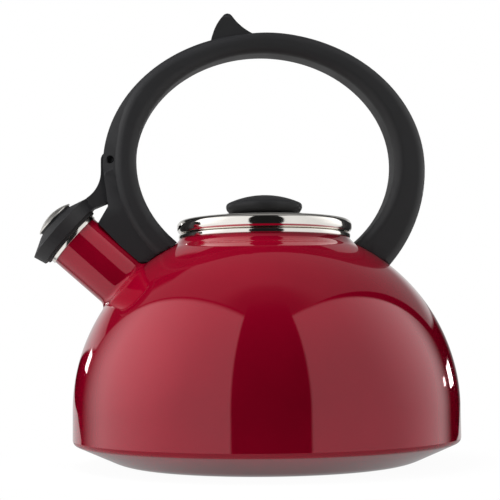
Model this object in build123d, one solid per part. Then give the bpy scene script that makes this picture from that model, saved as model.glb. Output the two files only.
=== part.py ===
from build123d import *
import math
import os

# Stovetop whistling kettle, in millimetres. The origin is the centre of the flat base, +Z is up,
# the spout points towards -X and the handle lies in the XZ plane.

# Body
body_radius = 95.0
body_wall = 1.2
dome_spring_height = 27.15
base_corner_height = 11.05
base_slope = 24.0
base_bend_radius = 29.0
ridge_bend_radius = 3.0
seam_height = 20.0
shoulder_run = 52.5
neck_height = 110.4
neck_cove_height = 4.1
neck_cove_run = 4.6

# Spout and the ring on its mouth
spout_elevation = 41.5
spout_radius = 14.2
spout_wall = 1.2
spout_overhang = 0.4
spout_mouth_lift = 1.05
spout_flare = 3.5
mouth_ring_width = 3.0
mouth_ring_radius = 14.8

# Filling opening
rim_height = 2.4
rim_overhang = 0.3
rim_land = 3.9
rim_skirt_wall = 1.0
rim_skirt_depth = 6.0
rim_edge_round = 0.8

# Lid
lid_overhang = 0.2
lid_edge_radius = 3.3
lid_rise = 10.7
lid_sheet = 1.0
lid_turn_in = 3.7
knob_seat_radius = 14.0
plug_clearance = 0.4
plug_wall = 1.0
plug_depth = 11.0
plug_flange = 5.0
knob_radius = 19.05
knob_edge_radius = 2.3
knob_height = 9.0
knob_screw_radius = 2.0
knob_screw_depth = 5.5
knob_head_radius = 4.0
knob_head_height = 2.0
knob_drive_length = 6.0
knob_drive_width = 0.7
washer_radius = 7.0
washer_thickness = 0.8

# Ring handle
handle_lift = 35.6
handle_inset = 13.8
handle_rise = 68.3
handle_drop = 76.3
bar_side = 16.7
bar_top = 11.0
bar_drop = 21.3
grip_shift = 0.8
grip_lift = 2.3
handle_width = 20.0
handle_round = 4.8
foot_inset = 41.4
foot_lean = 57.0
foot_inner_run = 13.0
foot_outer_run = 4.0
foot_gap = 0.4
seam_side = 6.1
seam_drop = 65.0
seam_start_reach = 13.0
seam_shoulder_angle = 115.0
seam_shoulder_bar = 10.1

# Channel on the spout side of the handle
channel_side = 1.0
channel_top = 0.9
channel_width = 16.0
channel_inset = 3.0
channel_chamfer_depth = 1.8
channel_chamfer_run = 5.5
channel_waist_inset = 2.6
channel_waist_drop = 19.5
channel_toe_run = 2.3
channel_toe_drop = 28.0
slot_width = 10.6
slot_depth = 8.4
slot_top_depth = 8.6
slot_end_reach = 6.0
slot_foot_inset = 0.6

# Lever, pin and spring
lever_width = 10.0
lever_recess = 0.5
lever_opening = 5.0
lever_stop_margin = 0.4
strip_side = 5.2
strip_top = 1.4
pivot_inset = 3.4
pivot_lift = 3.35
hub_radius = 4.4
pin_radius = 2.0
pin_length = 14.4
pin_chamfer = 0.35
arm_bend_drop = 2.5
arm_elbow_run = 2.7
arm_elbow_drop = 17.3
fin_front_reach = 26.2
fin_tip_reach = 18.0
fin_tail_reach = 3.3
fin_height = 9.3
fin_tip_radius = 2.2
fin_front_bulge = 1.2
fin_back_hollow = 1.2
spring_radius = 2.75
spring_wire = 0.7
spring_turns = 3
spring_pitch = 1.15
spring_leg = 9.5
spring_pocket_radius = 3.5

# Whistle cap, measured out from the spout's mouth
seal_radius = 16.2
seal_thickness = 1.6
seal_hole_radius = 5.0
collar_start = 1.2
collar_length = 6.0
collar_low_radius = 18.0
collar_high_radius = 19.3
collar_bore = 13.5
cone_length = 3.9
cone_top_radius = 10.0
housing_wall = 1.3
whistle_plate_thickness = 0.6
whistle_cup_radius = 11.0
whistle_cup_depth = 3.0
whistle_hole_radius = 2.5
steam_hole_radius = 1.5
steam_hole_count = 4
steam_hole_pitch_radius = 6.0
disc_radius = 10.2
disc_edge = 0.8
disc_crown = 2.1
disc_gap = 0.9
disc_stem_radius = 2.0
disc_shoulder_radius = 3.5

# Brackets and their screws
tab_width = 9.0
tab_thickness = 3.0
tab_depth = 13.0
tab_screw_lift = 7.0
foot_screw_radius = 1.75
foot_screw_tip = 4.0
foot_head_radius = 3.2
foot_head_height = 2.0
foot_head_recess = 1.0

# Clearances
moving_gap = 0.3
running_gap = 0.05
seat_gap = 0.1

# Sizes and places that follow from the sizes above
neck_radius = body_radius - shoulder_run
dome_run = shoulder_run - neck_cove_run
dome_rise = neck_height - neck_cove_height - dome_spring_height
dome_radius = (dome_run ** 2 + dome_rise ** 2) / (2 * dome_run)
dome_center = (body_radius - dome_radius, dome_spring_height)
dome_end_angle = math.atan2(dome_rise, dome_radius - dome_run)
slope = math.radians(base_slope)
rim_radius = neck_radius + rim_overhang
rim_bore = neck_radius - rim_land
rim_top = neck_height + rim_height
lid_radius = rim_radius + lid_overhang
knob_seat_height = rim_top + lid_rise
handle_reach = body_radius - handle_inset
handle_height = neck_height + handle_lift
handle_top = handle_height + handle_rise
grip_reach = handle_reach - bar_side
grip_rise = handle_rise - grip_lift - bar_top
grip_drop = handle_drop - bar_drop
grip_height = handle_height + grip_lift
grip_center = (grip_shift, grip_height)
foot_reach = body_radius - foot_inset
foot_inner_reach = foot_reach - foot_inner_run
foot_outer_reach = foot_reach + foot_outer_run
seam_reach = handle_reach - seam_side
channel_reach = handle_reach - channel_side
channel_rise = handle_rise - channel_top
channel_waist_reach = channel_reach - channel_waist_inset
channel_toe_reach = channel_reach + channel_toe_run
slot_reach = channel_reach - slot_depth
slot_rise = channel_rise - slot_top_depth
slot_foot_reach = channel_waist_reach - slot_foot_inset
lever_reach = channel_reach - lever_recess
lever_rise = channel_rise - lever_recess
strip_reach = lever_reach - strip_side
strip_rise = lever_rise - strip_top
pivot_reach = channel_reach - pivot_inset
pivot_height = handle_height + pivot_lift
arm_elbow_reach = pivot_reach + arm_elbow_run
tilt = math.radians(spout_elevation)
spout_reach = body_radius + spout_overhang
spout_mouth_height = neck_height + spout_mouth_lift
mouth = Plane(
    origin=(-spout_reach, 0, spout_mouth_height),
    x_dir=(math.sin(tilt), 0, math.cos(tilt)),
    z_dir=(-math.cos(tilt), 0, math.sin(tilt)),
)
spout_half_axis = spout_reach / math.cos(tilt) / 2
collar_end = collar_start + collar_length
cone_end = collar_end + cone_length
disc_start = cone_end + disc_gap
disc_end = disc_start + disc_edge


def ring(outer, inner, low, high):
    """Upright ring, or a disc with a hole, between two heights on the Z axis."""
    middle = Pos(0, 0, (low + high) / 2)
    return middle * (Cylinder(outer, high - low) - Cylinder(inner, high - low))


def disc(radius, low, high):
    """Upright round bar between two heights on the Z axis."""
    return Pos(0, 0, (low + high) / 2) * Cylinder(radius, high - low)


def cross_bar(radius, x, z, low, high):
    """Round bar along Y at x, z."""
    bar = Cylinder(radius, high - low, rotation=(90, 0, 0))
    return Pos(x, (low + high) / 2, z) * bar


def turned(*edges):
    """Solid turned about Z from a closed half section drawn in radius and height."""
    return revolve(Plane.XZ * make_face(edges), Axis.Z)


def slab(face, width):
    """Face drawn in X and Z, thickened equally to both sides of the XZ plane."""
    return extrude(Plane.XZ * face, width / 2, both=True)


def ellipse_height(reach, center, half_width, half_height):
    """Height of an ellipse's point at the given reach, on the lower half for a negative half height."""
    return center + half_height * math.sqrt(1 - (reach / half_width) ** 2)


def ellipse_angle(x, half_width):
    """Angle of the point with this x on the upper half of an ellipse."""
    return math.degrees(math.acos(x / half_width))


def crown_radius_over_edge(run, rise, edge):
    """Radius of a crown that starts level and runs into an edge rounding, run out and rise below."""
    return (run ** 2 + rise ** 2 - edge ** 2) / (2 * (rise - edge))


def offset_along(point, angle, distance):
    """Point moved by distance in the direction of angle, in radians."""
    return (point[0] + distance * math.cos(angle), point[1] + distance * math.sin(angle))


def crowned_edge(crown_start, edge_center, edge_radius, inset, last_angle):
    """Crown and edge rounding of a lid or knob section, moved inwards by inset."""
    run = edge_center[0] - crown_start[0]
    rise = crown_start[1] - edge_center[1]
    crown_radius = crown_radius_over_edge(run, rise, edge_radius)
    crown_center = (crown_start[0], crown_start[1] - crown_radius)
    meet = math.degrees(math.atan2(edge_center[1] - crown_center[1], run))
    crown = CenterArc(crown_center, crown_radius - inset, 90, meet - 90)
    edge = CenterArc(edge_center, edge_radius - inset, meet, last_angle - meet)
    return crown, edge


def dome_region(inset):
    """Body above the weld as a solid lump, with its skin moved inwards by inset."""
    radius = dome_radius - inset
    start = offset_along(dome_center, dome_end_angle, dome_radius)
    end = (neck_radius, neck_height)
    start_heading = dome_end_angle + math.pi / 2
    chord = math.atan2(end[1] - start[1], end[0] - start[0])
    end_heading = 2 * chord - start_heading
    cove_start = offset_along(start, start_heading + math.pi / 2, inset)
    cove_end = offset_along(end, end_heading + math.pi / 2, inset)
    heading = (math.cos(start_heading), math.sin(start_heading))
    wall_radius = body_radius - inset
    return turned(
        Line((0, seam_height), (wall_radius, seam_height)),
        Line((wall_radius, seam_height), (wall_radius, dome_spring_height)),
        CenterArc(dome_center, radius, 0, math.degrees(dome_end_angle)),
        TangentArc(cove_start, cove_end, tangent=heading),
        Line(cove_end, (0, cove_end[1])),
        Line((0, cove_end[1]), (0, seam_height)),
    )


def spout_bar(radius, start, end):
    """Round bar on the spout's axis, from start to end measured out from its mouth."""
    return mouth * disc(radius, start, end)


def enamel_lump(extra, end):
    """Dome and spout as one solid lump with the flare between them, all grown by extra."""
    dome = dome_region(-extra)
    spout = spout_bar(spout_radius + extra, -spout_half_axis, end)
    lump = dome + spout
    return fillet(new_edges(dome, spout, combined=lump), spout_flare - extra)


def spout_bore():
    return spout_bar(spout_radius - spout_wall, -spout_half_axis, 0)


def body_shell():
    """Domed shell with the neck's flange under the rim and the hole behind the spout."""
    under_flange = neck_height - body_wall
    hollow = dome_region(body_wall) & disc(body_radius, seam_height, under_flange)
    skirt_hole = disc(rim_bore + rim_skirt_wall + seat_gap, under_flange, neck_height)
    return dome_region(0) - hollow - skirt_hole - spout_bore()


def pan_edges(inset):
    """Section of the base pan's skin from the axis to the weld, moved inwards by inset."""
    corner = body_radius - base_corner_height / math.tan(slope) - inset * math.tan(slope / 2)
    ridge = base_corner_height + inset * (1 / math.cos(slope) - math.tan(slope))
    side = body_radius - inset
    return FilletPolyline(
        (0, inset),
        (corner, inset),
        (side, ridge),
        (side, seam_height),
        radius=[base_bend_radius - inset, ridge_bend_radius - inset],
    )


def base_pan():
    return turned(
        *pan_edges(0).edges(),
        Line((body_radius, seam_height), (body_radius - body_wall, seam_height)),
        *pan_edges(body_wall).edges(),
        Line((0, body_wall), (0, 0)),
    )


def spout_tube():
    """Spout with its flare, seated on the dome."""
    return enamel_lump(0, -mouth_ring_width) - dome_region(0) - spout_bore()


def mouth_ring():
    return mouth * ring(mouth_ring_radius, spout_radius - spout_wall, -mouth_ring_width, 0)


def opening_rim():
    """Bead on the neck with a skirt through the neck's flange."""
    bead = ring(rim_radius, rim_bore, neck_height, rim_top)
    outer_edges = bead.edges().filter_by(GeomType.CIRCLE).group_by(SortBy.RADIUS)[-1]
    bead = fillet(outer_edges, rim_edge_round)
    return bead + ring(rim_bore + rim_skirt_wall, rim_bore, neck_height - rim_skirt_depth, neck_height)


def lid_cover():
    """Pressed lid with a flat seat for the knob, a crown and a rolled edge that turns in."""
    seat = (knob_seat_radius, knob_seat_height)
    edge_center = (lid_radius - lid_edge_radius, rim_top + lid_edge_radius)
    turn_in = edge_center[0] - lid_turn_in
    outer = crowned_edge(seat, edge_center, lid_edge_radius, 0, -90)
    inner = crowned_edge(seat, edge_center, lid_edge_radius, lid_sheet, -90)
    under_seat = knob_seat_height - lid_sheet
    lid = turned(
        Line((0, knob_seat_height), seat),
        *outer,
        Line((edge_center[0], rim_top), (turn_in, rim_top)),
        Line((turn_in, rim_top), (turn_in, rim_top + lid_sheet)),
        Line((turn_in, rim_top + lid_sheet), (edge_center[0], rim_top + lid_sheet)),
        *inner,
        Line((knob_seat_radius, under_seat), (0, under_seat)),
        Line((0, under_seat), (0, knob_seat_height)),
    )
    return lid - disc(knob_screw_radius + seat_gap, under_seat, knob_seat_height)


def lid_plug():
    """Skirt that seats in the rim, with a flange welded under the lid's turned-in edge."""
    outer = rim_bore - plug_clearance
    skirt = ring(outer, outer - plug_wall, rim_top - plug_depth, rim_top)
    return skirt + ring(outer, outer - plug_flange, rim_top - plug_wall, rim_top)


def lid_knob():
    top = knob_seat_height + knob_height
    edge_center = (knob_radius - knob_edge_radius, knob_seat_height + knob_edge_radius)
    knob = turned(
        *crowned_edge((0, top), edge_center, knob_edge_radius, 0, -90),
        Line((edge_center[0], knob_seat_height), (0, knob_seat_height)),
        Line((0, knob_seat_height), (0, top)),
    )
    hole_top = knob_seat_height + knob_screw_depth + seat_gap
    return knob - disc(knob_screw_radius + seat_gap, knob_seat_height, hole_top)


def knob_washer():
    top = knob_seat_height - lid_sheet
    return ring(washer_radius, knob_screw_radius + seat_gap, top - washer_thickness, top)


def knob_screw():
    """Screw up through the washer and the lid into the knob, with a cross slot in its head."""
    head_top = knob_seat_height - lid_sheet - washer_thickness
    head_bottom = head_top - knob_head_height
    shank = disc(knob_screw_radius, head_top, knob_seat_height + knob_screw_depth)
    slot_depth = knob_head_height / 2
    blade = Box(knob_drive_length, knob_drive_width, slot_depth)
    cross = blade + Rot(0, 0, 90) * blade
    head = disc(knob_head_radius, head_bottom, head_top) - Pos(0, 0, head_bottom + slot_depth / 2) * cross
    return head + shank


def foot_points(side):
    """Inner and outer corner of a foot below the dome's skin, in X and Z, with side -1 for the spout's side."""
    inner_x = side * foot_inner_reach
    outer_x = side * foot_outer_reach
    inner_z = ellipse_height(inner_x - grip_shift, grip_height, grip_reach, -grip_drop)
    outer_z = ellipse_height(outer_x, handle_height, handle_reach, -handle_drop)
    return (inner_x, inner_z), (outer_x, outer_z)


def foot_frame(side):
    """Where a foot's middle stands on the dome, and the heading of the bar above it."""
    height = dome_center[1] + math.sqrt(dome_radius ** 2 - (foot_reach - dome_center[0]) ** 2)
    lean = math.radians(foot_lean)
    return (side * foot_reach, height), math.atan2(math.sin(lean), side * math.cos(lean))


def foot_block(side, width, low, high):
    """Rectangle along the bar's heading, from low to high above the dome."""
    middle, heading = foot_frame(side)
    center = offset_along(middle, heading, (low + high) / 2)
    return Pos(*center) * Rot(0, 0, math.degrees(heading)) * Rectangle(high - low, width)


def seam_foot():
    """Where the seam beside the channel runs out, on the line of the spout-side foot's end."""
    inner, outer = foot_points(-1)
    run = outer[0] - inner[0]
    fall = outer[1] - inner[1]
    start = (inner[0] / seam_reach, (inner[1] - handle_height) / seam_drop)
    step = (run / seam_reach, fall / seam_drop)
    step_square = step[0] ** 2 + step[1] ** 2
    along = start[0] * step[0] + start[1] * step[1]
    inside = start[0] ** 2 + start[1] ** 2 - 1
    share = (-along + math.sqrt(along ** 2 - step_square * inside)) / step_square
    return (inner[0] + share * run, inner[1] + share * fall)


def grip_bar():
    """Rounded bar of the handle, from foot to foot."""
    rear_inner, rear_outer = foot_points(1)
    front_inner = foot_points(-1)[0]
    front_seam = seam_foot()
    center = (0, handle_height)
    seam_start_height = ellipse_height(seam_start_reach, handle_height, handle_reach, handle_rise)
    seam_start = (seam_start_reach, seam_start_height)
    seam_side = (-seam_reach, handle_height)
    shoulder_turn = math.radians(seam_shoulder_angle)
    shoulder_x = grip_center[0] + grip_reach * math.cos(shoulder_turn)
    shoulder_z = grip_center[1] + grip_rise * math.sin(shoulder_turn)
    shoulder_heading = math.atan2(math.sin(shoulder_turn) / grip_rise, math.cos(shoulder_turn) / grip_reach)
    shoulder = offset_along((shoulder_x, shoulder_z), shoulder_heading, seam_shoulder_bar)
    start_angle = ellipse_angle(seam_start_reach, handle_reach)
    start_slope = -handle_rise * math.cos(math.radians(start_angle))
    start_run = handle_reach * math.sin(math.radians(start_angle))
    rear_angle = ellipse_angle(foot_outer_reach, handle_reach)
    grip_start = -ellipse_angle(rear_inner[0] - grip_shift, grip_reach)
    grip_end = 360 - ellipse_angle(front_inner[0] - grip_shift, grip_reach)
    front_angle = ellipse_angle(front_seam[0], seam_reach)
    face = make_face([
        EllipticalCenterArc(center, handle_reach, handle_drop, -rear_angle, arc_size=rear_angle),
        EllipticalCenterArc(center, handle_reach, handle_rise, 0, arc_size=start_angle),
        Spline(seam_start, shoulder, seam_side, tangents=[(-start_run, -start_slope), (0, -1)]),
        EllipticalCenterArc(center, seam_reach, seam_drop, 180, arc_size=180 - front_angle),
        Line(front_seam, front_inner),
        EllipticalCenterArc(grip_center, grip_reach, grip_drop, grip_start, arc_size=-grip_start),
        EllipticalCenterArc(grip_center, grip_reach, grip_rise, 0, arc_size=180),
        EllipticalCenterArc(grip_center, grip_reach, grip_drop, 180, arc_size=grip_end - 180),
        Line(rear_inner, rear_outer),
    ])
    bar = slab(face, handle_width)
    side_edges = bar.edges().filter_by(lambda edge: abs(abs(edge.center().Y) - handle_width / 2) < seat_gap)
    long_edges = side_edges.filter_by(lambda edge: edge.geom_type != GeomType.LINE)
    return fillet(long_edges, handle_round)


def channel_block():
    """Cheeks of the channel and the web down to the spout, before the slot is cut."""
    front_outer = foot_points(-1)[1]
    center = (0, handle_height)
    side = (-channel_reach, handle_height)
    waist = (-channel_waist_reach, handle_height - channel_waist_drop)
    toe = (-channel_toe_reach, handle_height - channel_toe_drop)
    foot_middle = foot_frame(-1)[0]
    face = make_face([
        EllipticalCenterArc(center, channel_reach, channel_rise, 90, arc_size=90),
        Polyline(side, waist, toe, front_outer, foot_middle, center, (0, handle_height + channel_rise)),
    ])
    core_reach = grip_reach + channel_inset
    face -= make_face([
        EllipticalCenterArc(grip_center, core_reach, grip_rise + channel_inset, 0, arc_size=180),
        EllipticalCenterArc(grip_center, core_reach, grip_drop + channel_inset, 180, arc_size=180),
    ])
    block = slab(face, channel_width)
    for cheek in block.faces().filter_by(Axis.Y):
        rim_edges = cheek.edges().filter_by(GeomType.ELLIPSE).sort_by(SortBy.LENGTH)
        outer_edge = max(rim_edges, key=lambda edge: (edge.center() - Vector(0, 0, handle_height)).length)
        block = chamfer(
            block.edges().filter_by(lambda edge: edge.center() == outer_edge.center()),
            channel_chamfer_run,
            channel_chamfer_depth,
            reference=block.faces().filter_by(lambda face: face.center() == cheek.center())[0],
        )
    return block


def slot_face():
    """Slot for the lever: a curved floor along the top, open to the outside."""
    end_height = ellipse_height(slot_end_reach, handle_height, slot_reach, slot_rise)
    end_angle = ellipse_angle(slot_end_reach, slot_reach)
    foot = (-slot_foot_reach, handle_height - channel_waist_drop)
    outside_x = -handle_reach - handle_width
    outside_z = handle_top + handle_width
    return make_face([
        EllipticalCenterArc((0, handle_height), slot_reach, slot_rise, end_angle, arc_size=180 - end_angle),
        Polyline(
            (-slot_reach, handle_height),
            foot,
            (outside_x, foot[1]),
            (outside_x, outside_z),
            (slot_end_reach, outside_z),
            (slot_end_reach, end_height),
        ),
    ])


def screw_place(side):
    middle, heading = foot_frame(side)
    return offset_along(middle, heading, tab_screw_lift)


def handle():
    """Ring handle with its channel, the slots for the bracket tabs and the holes for screws and pin."""
    body = grip_bar() + channel_block() - slab(slot_face(), slot_width)
    pivot = Axis((-pivot_reach, 0, pivot_height), (0, 1, 0))
    body -= slab(lever_face(), slot_width).rotate(pivot, lever_opening + lever_stop_margin)
    body -= enamel_lump(foot_gap, 0)
    for side in (-1, 1):
        pocket = foot_block(side, tab_width + 2 * seat_gap, -tab_depth, tab_depth + seat_gap)
        body -= slab(pocket, tab_thickness + 2 * seat_gap)
        x, z = screw_place(side)
        half = handle_width / 2
        head_floor = half - foot_head_recess - foot_head_height
        body -= cross_bar(foot_screw_radius + seat_gap, x, z, -foot_screw_tip - seat_gap, half)
        body -= cross_bar(foot_head_radius + seat_gap, x, z, head_floor, half)
    return body - cross_bar(pin_radius, -pivot_reach, pivot_height, -channel_width / 2, channel_width / 2)


def bracket(side):
    """Steel tab that stands on the dome inside a foot."""
    tab = slab(foot_block(side, tab_width, -tab_depth, tab_depth), tab_thickness)
    tab -= enamel_lump(0, 0)
    x, z = screw_place(side)
    return tab - cross_bar(foot_screw_radius + seat_gap, x, z, -tab_thickness, tab_thickness)


def foot_screw(side):
    """Cross screw through a foot and its tab, with its head in the back of the handle."""
    x, z = screw_place(side)
    head_top = handle_width / 2 - foot_head_recess
    head_bottom = head_top - foot_head_height
    slot = Pos(x, head_top, z) * Box(2 * foot_head_radius, foot_head_height, foot_head_height / 2)
    head = cross_bar(foot_head_radius, x, z, head_bottom, head_top) - slot
    return head + cross_bar(foot_screw_radius, x, z, -foot_screw_tip, head_bottom)


def lever_pin():
    pin = cross_bar(pin_radius, -pivot_reach, pivot_height, -pin_length / 2, pin_length / 2)
    return chamfer(pin.edges().filter_by(GeomType.CIRCLE), pin_chamfer)


def mouth_point(reach, out):
    """X and Z of a point beside the spout's axis: reach across it and out from the mouth."""
    point = mouth.from_local_coords((reach, 0, out))
    return (point.X, point.Z)


def lever_face():
    """Side view of the lever: fin, strip, hub and arm."""
    center = (0, handle_height)
    front = (-fin_front_reach, ellipse_height(fin_front_reach, handle_height, lever_reach, lever_rise))
    tail = (-fin_tail_reach, ellipse_height(fin_tail_reach, handle_height, lever_reach, lever_rise))
    tip_height = handle_top + fin_height
    shoulder_height = tip_height - fin_tip_radius / 2
    tip_front = (-fin_tip_reach - fin_tip_radius, shoulder_height)
    tip_back = (-fin_tip_reach + fin_tip_radius, shoulder_height)
    under_tail = (-fin_tail_reach, ellipse_height(fin_tail_reach, handle_height, strip_reach, strip_rise))
    front_angle = ellipse_angle(-fin_front_reach, lever_reach)
    tail_angle = ellipse_angle(-fin_tail_reach, strip_reach)
    strip = make_face([
        EllipticalCenterArc(center, lever_reach, lever_rise, front_angle, arc_size=180 - front_angle),
        Line((-lever_reach, handle_height), (-strip_reach, handle_height)),
        EllipticalCenterArc(center, strip_reach, strip_rise, tail_angle, arc_size=180 - tail_angle),
        Line(under_tail, tail),
        SagittaArc(tail, tip_back, fin_back_hollow),
        ThreePointArc(tip_back, (-fin_tip_reach, tip_height), tip_front),
        SagittaArc(tip_front, front, -fin_front_bulge),
    ])
    return strip + arm_face()


def arm_face():
    """Side view of the lever's hub and of the arm from it down to the cap's collar."""
    hub_side = (-pivot_reach - hub_radius, pivot_height)
    bend = (hub_side[0], handle_height - arm_bend_drop)
    collar_high = mouth_point(collar_high_radius, collar_end)
    root = (collar_bore + collar_low_radius) / 2
    arm = make_face([
        TangentArc(bend, collar_high, tangent=(0, -1)),
        Polyline(
            collar_high,
            mouth_point(root, collar_end),
            mouth_point(root, collar_start),
            mouth_point(collar_low_radius, collar_start),
            (-arm_elbow_reach, handle_height - arm_elbow_drop),
            (-strip_reach, handle_height),
            (-strip_reach, pivot_height),
            hub_side,
            bend,
        ),
    ])
    return arm + Pos(-pivot_reach, pivot_height) * Circle(hub_radius)


def spring_place():
    """Y where the spring's coil starts, and X of its legs."""
    half = lever_width / 2
    start = half - spring_turns * spring_pitch - spring_wire / 2
    return start, -pivot_reach + spring_radius


def spring_pocket():
    """Room for the spring's coil and legs in the back of the lever's hub."""
    start, leg_x = spring_place()
    low = start - spring_wire / 2 - moving_gap
    high = lever_width / 2 + moving_gap
    leg_wall = leg_x - spring_wire / 2 - running_gap
    floor_x = -slot_reach
    corner = (Align.MIN, Align.MIN, Align.MIN)
    leg_room = Box(floor_x - leg_wall, high - low, spring_leg + spring_wire, align=corner)
    upper = Pos(leg_wall, low, pivot_height) * leg_room
    lower = Pos(leg_wall - moving_gap, low, pivot_height - spring_leg - spring_wire) * leg_room
    return cross_bar(spring_pocket_radius, -pivot_reach, pivot_height, low, high) + upper + lower


def spout_lever():
    """Fin, strip, arm and cap collar in one moulding."""
    body = slab(lever_face(), lever_width)
    collar = Pos(0, 0, collar_start) * Cone(
        collar_low_radius, collar_high_radius, collar_length, align=(Align.CENTER, Align.CENTER, Align.MIN)
    )
    body += mouth * collar
    body -= spout_bar(collar_bore, collar_start, collar_end)
    body -= spout_bar(seal_radius + seat_gap, 0, seal_thickness)
    body -= cross_bar(pin_radius + running_gap, -pivot_reach, pivot_height, -lever_width, lever_width)
    return body - spring_pocket()


def lever_spring():
    """Torsion spring round the pin, with one leg behind the lever's strip and one on the slot's floor."""
    start, leg_x = spring_place()

    def coil_point(turn):
        angle = 2 * math.pi * turn
        x = -pivot_reach + spring_radius * math.cos(angle)
        z = pivot_height + spring_radius * math.sin(angle)
        return (x, start + spring_pitch * turn, z)

    foot_height = pivot_height - spring_leg
    floor_lean = (slot_foot_reach - slot_reach) / channel_waist_drop
    floor_x = -slot_reach - floor_lean * (handle_height - foot_height)
    foot = (floor_x - spring_wire / 2 - seat_gap, start, foot_height)
    edges = [Line(foot, coil_point(0))]
    for half_turn in range(2 * spring_turns):
        turn = half_turn / 2
        edges.append(ThreePointArc(coil_point(turn), coil_point(turn + 0.25), coil_point(turn + 0.5)))
    last = coil_point(spring_turns)
    edges.append(Line(last, (last[0], last[1], last[2] + spring_leg)))
    path = Wire([edge.edge() for edge in edges])
    section = Plane(origin=path @ 0, z_dir=path % 0) * Circle(spring_wire / 2)
    return sweep(section, path=path)


def cap_seal():
    return mouth * ring(seal_radius, seal_hole_radius, 0, seal_thickness)


def whistle_lower_plate():
    low = seal_thickness
    return mouth * ring(collar_bore - seat_gap, whistle_hole_radius, low, low + whistle_plate_thickness)


def whistle_upper_plate():
    """Shallow cup upside down on the lower plate."""
    low = seal_thickness + whistle_plate_thickness
    top = low + whistle_cup_depth
    wall = ring(whistle_cup_radius, whistle_cup_radius - whistle_plate_thickness, low, top)
    lid = ring(whistle_cup_radius, whistle_hole_radius, top - whistle_plate_thickness, top)
    return mouth * (wall + lid)


def whistle_housing():
    """Black cone with a skirt that clamps the lower plate, and steam holes under the disc."""
    low = seal_thickness + whistle_plate_thickness
    skirt_radius = collar_bore - seat_gap
    cone = Pos(0, 0, collar_end) * Cone(
        collar_high_radius, cone_top_radius, cone_length, align=(Align.CENTER, Align.CENTER, Align.MIN)
    )
    body = cone + disc(skirt_radius, low, collar_end)
    body -= disc(skirt_radius - housing_wall, low, cone_end - housing_wall)
    body -= disc(disc_stem_radius, low, cone_end)
    for hole in PolarLocations(steam_hole_pitch_radius, steam_hole_count):
        body -= hole * disc(steam_hole_radius, low, cone_end)
    return mouth * body


def whistle_disc():
    """Bright domed disc on a stem, held off the cone so that steam leaves under it."""
    crown_radius = (disc_radius ** 2 + disc_crown ** 2) / (2 * disc_crown)
    half_angle = math.degrees(math.asin(disc_radius / crown_radius))
    top = disc_end + disc_crown
    stem_low = cone_end - housing_wall
    head = turned(
        CenterArc((0, top - crown_radius), crown_radius, 90, -half_angle),
        Polyline((disc_radius, disc_end), (disc_radius, disc_start), (0, disc_start), (0, top)),
    )
    shoulder = disc(disc_shoulder_radius, cone_end, disc_start)
    return mouth * (head + shoulder + disc(disc_stem_radius, stem_low, cone_end))


pieces = {
    "body_shell": body_shell(),
    "base_pan": base_pan(),
    "spout_tube": spout_tube(),
    "mouth_ring": mouth_ring(),
    "opening_rim": opening_rim(),
    "handle": handle(),
    "spout_side_bracket": bracket(-1),
    "rear_bracket": bracket(1),
    "spout_side_screw": foot_screw(-1),
    "rear_screw": foot_screw(1),
    "lever_pin": lever_pin(),
    "lever_spring": lever_spring(),
    "spout_lever": spout_lever(),
    "cap_seal": cap_seal(),
    "whistle_lower_plate": whistle_lower_plate(),
    "whistle_upper_plate": whistle_upper_plate(),
    "whistle_housing": whistle_housing(),
    "whistle_disc": whistle_disc(),
    "lid_cover": lid_cover(),
    "lid_plug": lid_plug(),
    "lid_knob": lid_knob(),
    "knob_washer": knob_washer(),
    "knob_screw": knob_screw(),
}

os.makedirs("parts", exist_ok=True)
for name, piece in pieces.items():
    export_step(piece, f"parts/{name}.step")
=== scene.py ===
import math

import bmesh
import bpy
from mathutils import Matrix, Vector


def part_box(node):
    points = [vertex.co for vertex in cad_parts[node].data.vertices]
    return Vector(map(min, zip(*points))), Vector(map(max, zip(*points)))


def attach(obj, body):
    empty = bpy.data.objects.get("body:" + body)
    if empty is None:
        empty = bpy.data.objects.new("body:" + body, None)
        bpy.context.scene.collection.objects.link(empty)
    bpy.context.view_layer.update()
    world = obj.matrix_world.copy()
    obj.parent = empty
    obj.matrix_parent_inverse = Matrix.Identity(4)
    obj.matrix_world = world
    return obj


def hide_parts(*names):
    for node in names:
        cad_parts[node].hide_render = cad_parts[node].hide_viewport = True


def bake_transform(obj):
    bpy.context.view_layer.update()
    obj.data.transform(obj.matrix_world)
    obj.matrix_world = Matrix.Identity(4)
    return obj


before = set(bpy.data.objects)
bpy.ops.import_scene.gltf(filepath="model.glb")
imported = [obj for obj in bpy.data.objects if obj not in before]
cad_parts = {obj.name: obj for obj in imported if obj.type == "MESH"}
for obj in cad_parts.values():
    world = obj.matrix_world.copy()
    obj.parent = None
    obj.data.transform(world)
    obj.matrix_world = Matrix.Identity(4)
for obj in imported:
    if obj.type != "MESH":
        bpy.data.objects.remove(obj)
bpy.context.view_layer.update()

boxes = {name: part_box(name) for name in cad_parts}

bl_info = {
    "name": "Whistling kettle dresser",
    "version": (1, 0, 0),
    "blender": (4, 5, 0),
    "location": "View3D > Sidebar > Kettle",
    "description": "Dresses the whistling kettle's frame with enamel, steel and moulded plastic",
    "category": "Object",
}

WELD_DISTANCE = 1e-6
FULL_TURN = 2 * math.pi
UP = math.pi / 2
DOWN = -math.pi / 2
TURNED_CREASE = math.radians(40)
MOULDED_CREASE = math.radians(32)
SCREW_CREASE = math.radians(25)
WHITE = (1.0, 1.0, 1.0, 1.0)

# The photograph's camera, in millimetres for the lens, metres for its place and degrees for its turns
PHOTO_LENS = 91.0
PHOTO_SENSOR = 36.0
PHOTO_PLACE = (-0.0768, -0.6253, 0.0611)
PHOTO_HEADING = -6.34
PHOTO_PITCH = 94.009
PHOTO_ROLL = -0.587


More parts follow.
